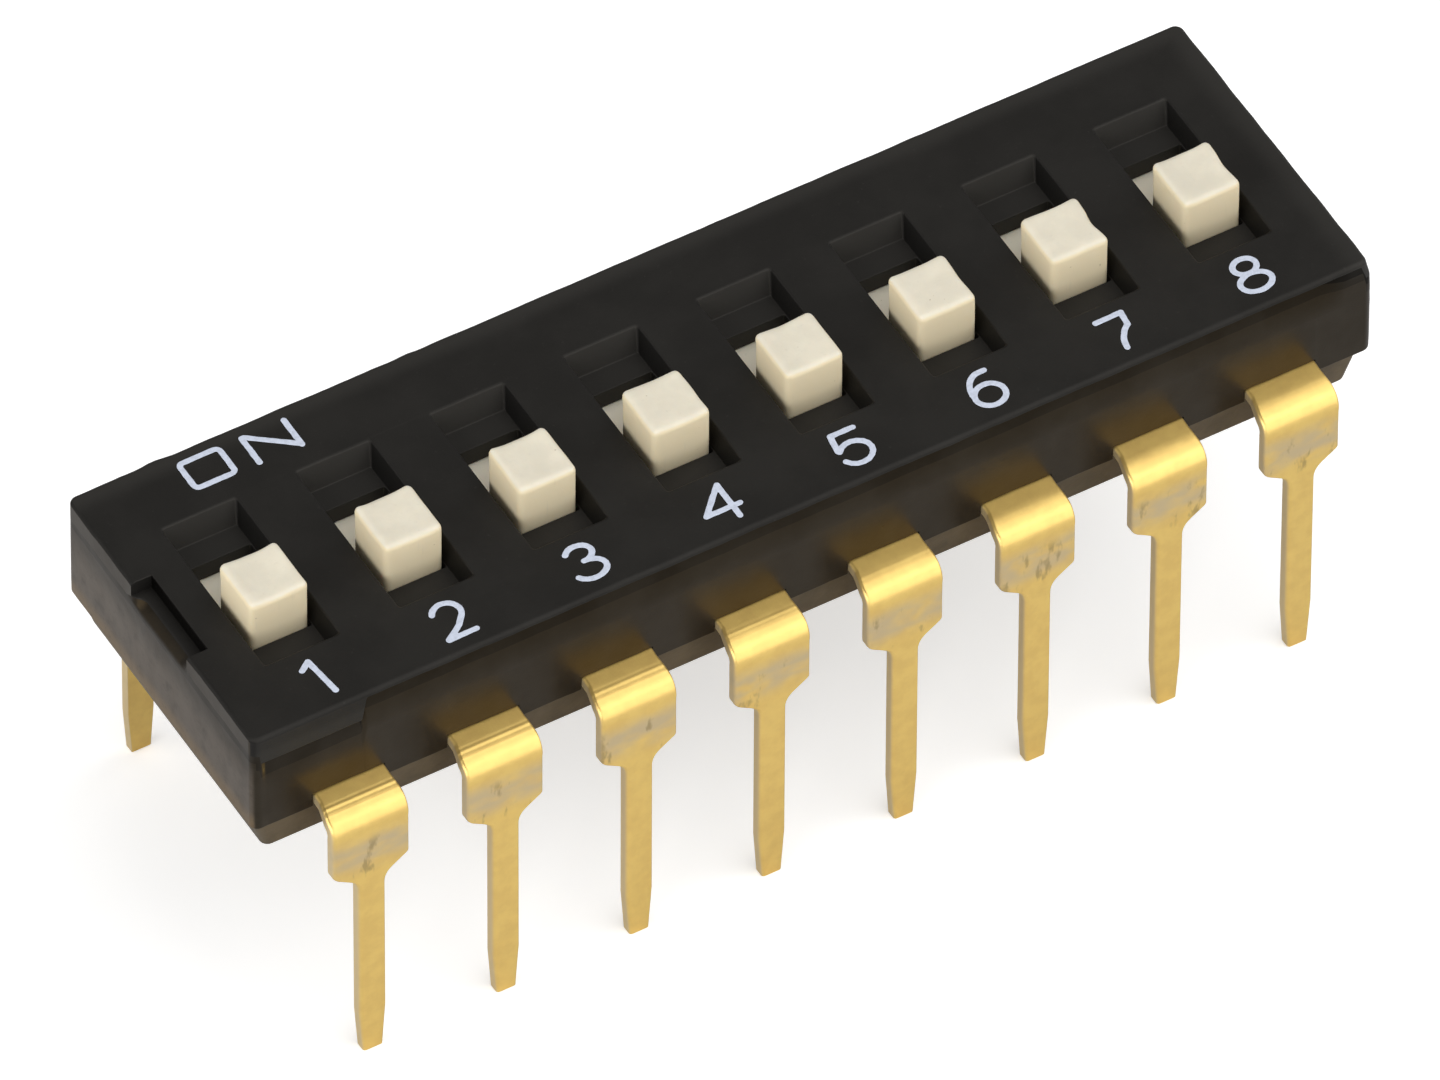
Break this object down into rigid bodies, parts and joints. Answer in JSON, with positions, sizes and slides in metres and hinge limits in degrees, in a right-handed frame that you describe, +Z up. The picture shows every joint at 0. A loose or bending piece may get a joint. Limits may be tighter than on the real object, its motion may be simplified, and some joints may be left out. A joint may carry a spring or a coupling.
{
  "type": "dip switch",
  "caption": "Slide DIP switch for through-hole boards: a low black housing, white sliders in sunk windows and two rows of gold flat pins.",
  "frame": {"origin": "middle of the pin pattern, on the surface of the board that the shoulders stand on", "axes": "+X along the row of switches from the first to the last, +Y from OFF to ON, +Z up out of the board"},
  "size_m": [0.0212, 0.0078, 0.0084],
  "materials": {
    "cover_plastic": "semi-gloss moulded black",
    "base_plastic": "satin moulded black",
    "slider_plastic": "satin moulded cream white",
    "contact_gold": "gold-plated spring strip",
    "terminal_gold": "gold-plated stamped strip"
  },
  "bodies": {
    "housing": {"cover": "cover_plastic", "base": "base_plastic", "front_terminal_1": "terminal_gold", "front_terminal_2": "terminal_gold", "front_terminal_3": "terminal_gold", "front_terminal_4": "terminal_gold", "front_terminal_5": "terminal_gold", "front_terminal_6": "terminal_gold", "front_terminal_7": "terminal_gold", "front_terminal_8": "terminal_gold", "rear_terminal_1": "terminal_gold", "rear_terminal_2": "terminal_gold", "rear_terminal_3": "terminal_gold", "rear_terminal_4": "terminal_gold", "rear_terminal_5": "terminal_gold", "rear_terminal_6": "terminal_gold", "rear_terminal_7": "terminal_gold", "rear_terminal_8": "terminal_gold"},
    "slider_1": {"slider_1": "slider_plastic", "contact_1": "contact_gold"},
    "slider_2": {"slider_2": "slider_plastic", "contact_2": "contact_gold"},
    "slider_3": {"slider_3": "slider_plastic", "contact_3": "contact_gold"},
    "slider_4": {"slider_4": "slider_plastic", "contact_4": "contact_gold"},
    "slider_5": {"slider_5": "slider_plastic", "contact_5": "contact_gold"},
    "slider_6": {"slider_6": "slider_plastic", "contact_6": "contact_gold"},
    "slider_7": {"slider_7": "slider_plastic", "contact_7": "contact_gold"},
    "slider_8": {"slider_8": "slider_plastic", "contact_8": "contact_gold"}
  },
  "joints": [
    {"name": "switch_1_slide", "type": "slide", "parent": "housing", "child": "slider_1", "axis": [0, 1, 0], "range_m": [0, 0.0009]},
    {"name": "switch_2_slide", "type": "slide", "parent": "housing", "child": "slider_2", "axis": [0, 1, 0], "range_m": [0, 0.0009]},
    {"name": "switch_3_slide", "type": "slide", "parent": "housing", "child": "slider_3", "axis": [0, 1, 0], "range_m": [0, 0.0009]},
    {"name": "switch_4_slide", "type": "slide", "parent": "housing", "child": "slider_4", "axis": [0, 1, 0], "range_m": [0, 0.0009]},
    {"name": "switch_5_slide", "type": "slide", "parent": "housing", "child": "slider_5", "axis": [0, 1, 0], "range_m": [0, 0.0009]},
    {"name": "switch_6_slide", "type": "slide", "parent": "housing", "child": "slider_6", "axis": [0, 1, 0], "range_m": [0, 0.0009]},
    {"name": "switch_7_slide", "type": "slide", "parent": "housing", "child": "slider_7", "axis": [0, 1, 0], "range_m": [0, 0.0009]},
    {"name": "switch_8_slide", "type": "slide", "parent": "housing", "child": "slider_8", "axis": [0, 1, 0], "range_m": [0, 0.0009]}
  ]
}
